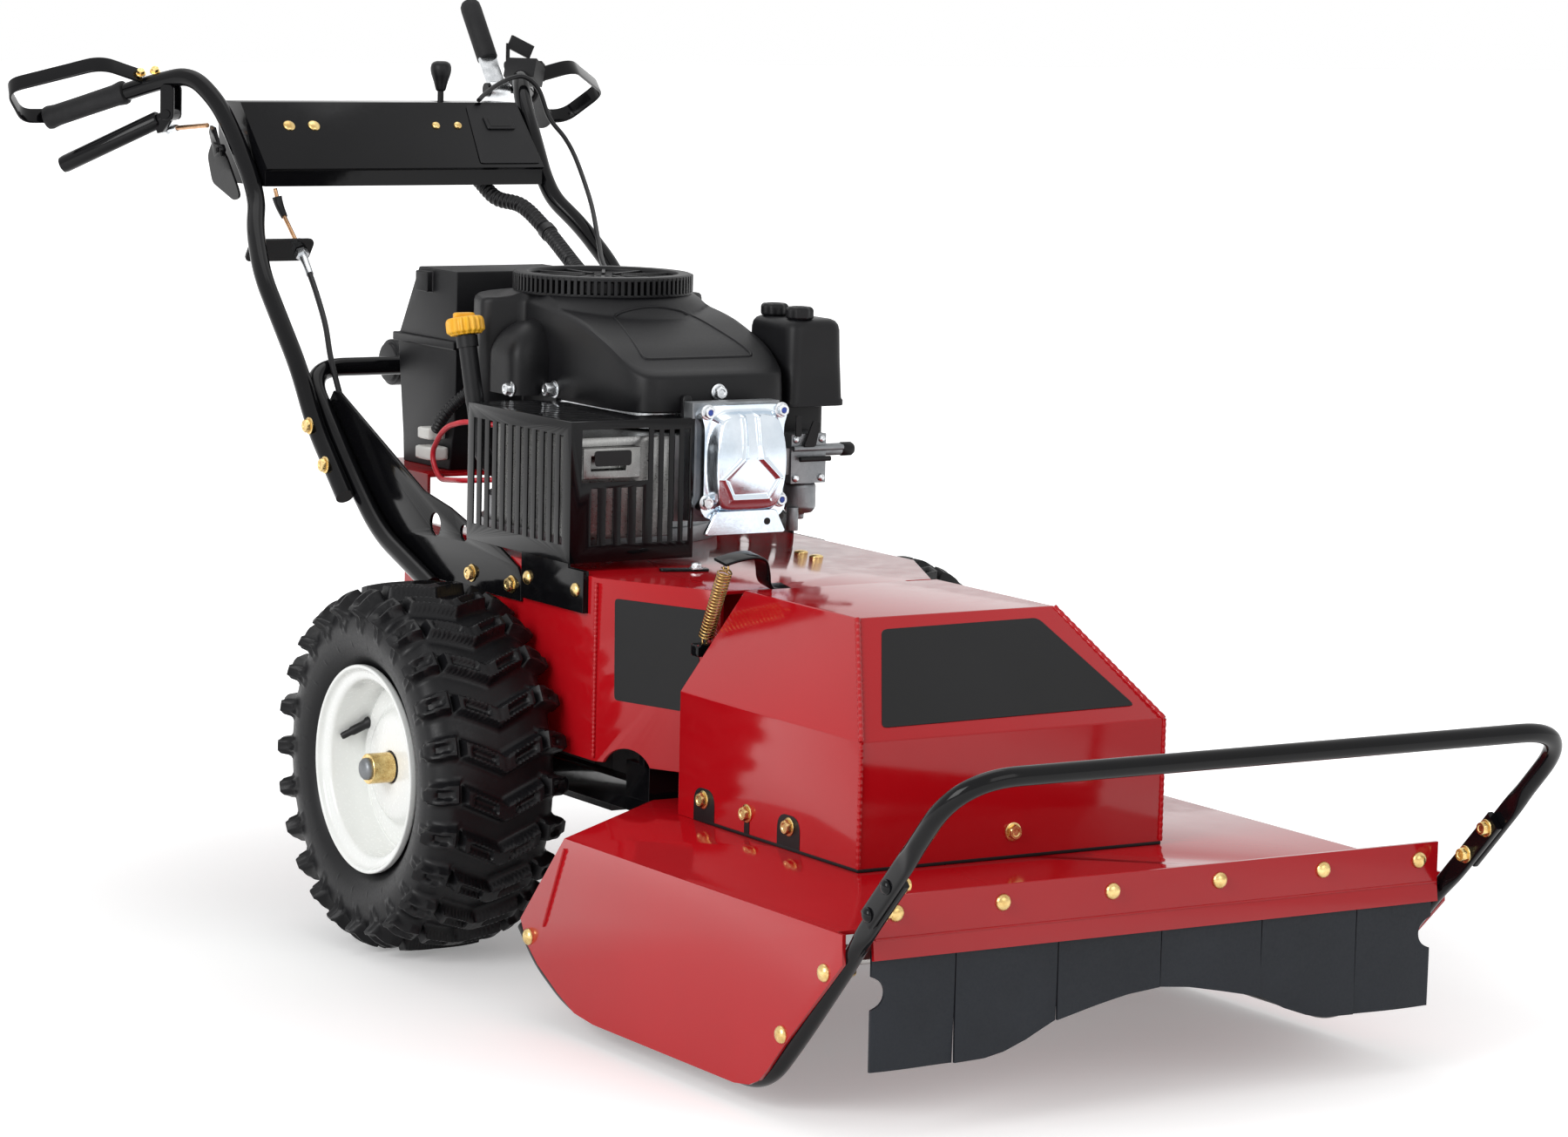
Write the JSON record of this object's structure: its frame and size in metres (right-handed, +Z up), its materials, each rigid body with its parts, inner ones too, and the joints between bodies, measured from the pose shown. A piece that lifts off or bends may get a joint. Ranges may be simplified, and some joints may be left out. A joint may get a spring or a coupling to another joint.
{
  "type": "brush mower",
  "caption": "Walk-behind brush mower: engine and fuel tank on a wheeled chassis, swinging front deck with blade, belt cover and rubber flaps, tube handles with control levers.",
  "frame": {"origin": "on the ground, middle of the length and width", "axes": "+Y from the deck to the handles, +X to the operator's left, +Z up"},
  "size_m": [0.8432, 2.1148, 1.0441],
  "materials": {
    "tyre": "moulded rubber",
    "rim_white": "gloss white enamel",
    "red_paint": "gloss red powder coat",
    "black_paint": "satin black powder coat",
    "cast_iron": "cast",
    "steel": "machined",
    "alloy": "die cast",
    "bright_cover": "bright stamped",
    "black_plastic": "grained",
    "grip_rubber": "matt",
    "flap_rubber": "matt",
    "yellow_plastic": "moulded",
    "zinc": "yellow zinc",
    "spring_wire": "drawn",
    "copper": "drawn",
    "cable_black": "jacket",
    "lead_red": "jacket"
  },
  "bodies": {
    "frame": {"transaxle": "cast_iron", "chassis": "red_paint", "pivot_frame": "black_paint", "side_plates": "black_paint", "lower_hoop": "black_paint", "handle_tubes": "black_paint", "console": "black_paint", "grips": "grip_rubber", "hand_guards": "black_paint", "switch_box": "black_plastic", "engine_block": "alloy", "blower_housing": "black_plastic", "valve_cover": "bright_cover", "muffler": "steel", "muffler_guard": "black_paint", "carburettor": "alloy", "air_filter": "black_plastic", "dip_tube": "black_plastic", "fuel_tank": "black_plastic", "canister": "black_plastic", "drive_belt": "cable_black", "spring_strap": "black_paint", "tension_spring": "spring_wire", "drive_cable": "cable_black", "throttle_cable": "cable_black", "loom": "black_plastic", "starter_wire": "lead_red", "body_bolts": "zinc"},
    "wheel_l": {"tyre_l": "tyre", "rim_l": "rim_white", "axle_l": "zinc"},
    "wheel_r": {"tyre_r": "tyre", "rim_r": "rim_white", "axle_r": "zinc"},
    "mowing_deck": {"deck": "red_paint", "belt_cover": "red_paint", "skid_tubes": "black_paint", "bumper": "black_paint", "flap_clamp": "steel", "spindle_housing": "cast_iron", "deck_bolts": "zinc"},
    "cutter": {"spindle": "steel", "blade": "steel"},
    "crank": {"crankshaft": "steel"},
    "squeeze_lever": {"drive_lever": "black_paint"},
    "lever_rod": {"drive_rod": "copper"},
    "crank_arm": {"bell_crank": "black_paint"},
    "clutch_lever": {"blade_lever": "black_plastic"},
    "paddle": {"lock_paddle": "black_plastic"},
    "gear_lever": {"shift_lever": "black_plastic"},
    "oil_stick": {"dipstick": "yellow_plastic"},
    "knob_a": {"filter_knob_a": "black_plastic"},
    "knob_b": {"filter_knob_b": "black_plastic"},
    "flap1": {"flap_1": "flap_rubber"},
    "flap2": {"flap_2": "flap_rubber"},
    "flap3": {"flap_3": "flap_rubber"},
    "flap4": {"flap_4": "flap_rubber"},
    "flap5": {"flap_5": "flap_rubber"},
    "flap6": {"flap_6": "flap_rubber"}
  },
  "joints": [
    {"name": "wheel_l_spin", "type": "hinge", "parent": "frame", "child": "wheel_l", "pos_m": [-0.3, 0.11985, 0.207], "axis": [1, 0, 0], "continuous": true},
    {"name": "wheel_r_spin", "type": "hinge", "parent": "frame", "child": "wheel_r", "pos_m": [0.3, 0.11985, 0.207], "axis": [1, 0, 0], "continuous": true},
    {"name": "deck_swing", "type": "hinge", "parent": "frame", "child": "mowing_deck", "pos_m": [0, -0.31215, 0.255], "axis": [0, 1, 0], "range_deg": [-6, 6], "deforming": ["drive_belt"]},
    {"name": "crank_spin", "type": "hinge", "parent": "frame", "child": "crank", "pos_m": [0, 0.25485, 0.33], "axis": [0, 0, 1], "continuous": true},
    {"name": "blade_spin", "type": "hinge", "parent": "mowing_deck", "child": "cutter", "pos_m": [0, -0.52715, 0.101], "axis": [0, 0, 1], "continuous": true},
    {"name": "flap_1_swing", "type": "hinge", "parent": "mowing_deck", "child": "flap1", "pos_m": [-0.29, -0.87205, 0.187], "axis": [1, 0, 0], "range_deg": [0, 35], "stiffness_Nm_per_rad": 0.3},
    {"name": "flap_2_swing", "type": "hinge", "parent": "mowing_deck", "child": "flap2", "pos_m": [-0.1825, -0.87205, 0.187], "axis": [1, 0, 0], "range_deg": [0, 10], "stiffness_Nm_per_rad": 0.3},
    {"name": "flap_3_swing", "type": "hinge", "parent": "mowing_deck", "child": "flap3", "pos_m": [-0.0615, -0.87205, 0.187], "axis": [1, 0, 0], "range_deg": [0, 10], "stiffness_Nm_per_rad": 0.3},
    {"name": "flap_4_swing", "type": "hinge", "parent": "mowing_deck", "child": "flap4", "pos_m": [0.0615, -0.87205, 0.187], "axis": [1, 0, 0], "range_deg": [0, 10], "stiffness_Nm_per_rad": 0.3},
    {"name": "flap_5_swing", "type": "hinge", "parent": "mowing_deck", "child": "flap5", "pos_m": [0.1825, -0.87205, 0.187], "axis": [1, 0, 0], "range_deg": [0, 10], "stiffness_Nm_per_rad": 0.3},
    {"name": "flap_6_swing", "type": "hinge", "parent": "mowing_deck", "child": "flap6", "pos_m": [0.29, -0.87205, 0.187], "axis": [1, 0, 0], "range_deg": [0, 35], "stiffness_Nm_per_rad": 0.3},
    {"name": "drive_lever_pivot", "type": "hinge", "parent": "frame", "child": "squeeze_lever", "pos_m": [-0.246, 0.91385, 0.897], "axis": [0.7727, 0.6347, 0], "range_deg": [0, 11], "stiffness_Nm_per_rad": 2, "springref_deg": -8.59},
    {"name": "drive_rod_pivot", "type": "hinge", "parent": "squeeze_lever", "child": "lever_rod", "pos_m": [-0.24098, 0.93609, 0.877], "axis": [0.7727, 0.6347, 0], "range_deg": [-8, 0]},
    {"name": "bell_crank_pivot", "type": "hinge", "parent": "frame", "child": "crank_arm", "pos_m": [-0.225, 0.81385, 0.857], "axis": [1, 0, 0], "range_deg": [-6, 0]},
    {"name": "blade_lever_pivot", "type": "hinge", "parent": "frame", "child": "clutch_lever", "pos_m": [0.238, 0.95785, 0.926], "axis": [1, 0, 0], "range_deg": [-58, 0]},
    {"name": "lock_paddle_pivot", "type": "hinge", "parent": "frame", "child": "paddle", "pos_m": [0.26, 0.97085, 0.957], "axis": [1, 0, 0], "range_deg": [-15, 0], "stiffness_Nm_per_rad": 0.3},
    {"name": "shift_lever_pivot", "type": "hinge", "parent": "frame", "child": "gear_lever", "pos_m": [0.099, 0.85285, 0.86], "axis": [1, 0, 0], "range_deg": [-12, 12]},
    {"name": "dipstick_pull", "type": "slide", "parent": "frame", "child": "oil_stick", "axis": [-0.0514, 0.2057, 0.9773], "range_m": [0, 0.12]},
    {"name": "filter_knob_a_turn", "type": "hinge", "parent": "frame", "child": "knob_a", "pos_m": [0.128, 0.02785, 0.704], "axis": [0, 0, 1], "continuous": true},
    {"name": "filter_knob_b_turn", "type": "hinge", "parent": "frame", "child": "knob_b", "pos_m": [0.128, 0.08185, 0.704], "axis": [0, 0, 1], "continuous": true}
  ],
  "couplings": [
    {"joint": "blade_spin", "follows": "crank_spin", "ratio": 0.8125},
    {"joint": "drive_rod_pivot", "follows": "drive_lever_pivot", "ratio": -0.715},
    {"joint": "bell_crank_pivot", "follows": "drive_lever_pivot", "ratio": -0.5}
  ]
}
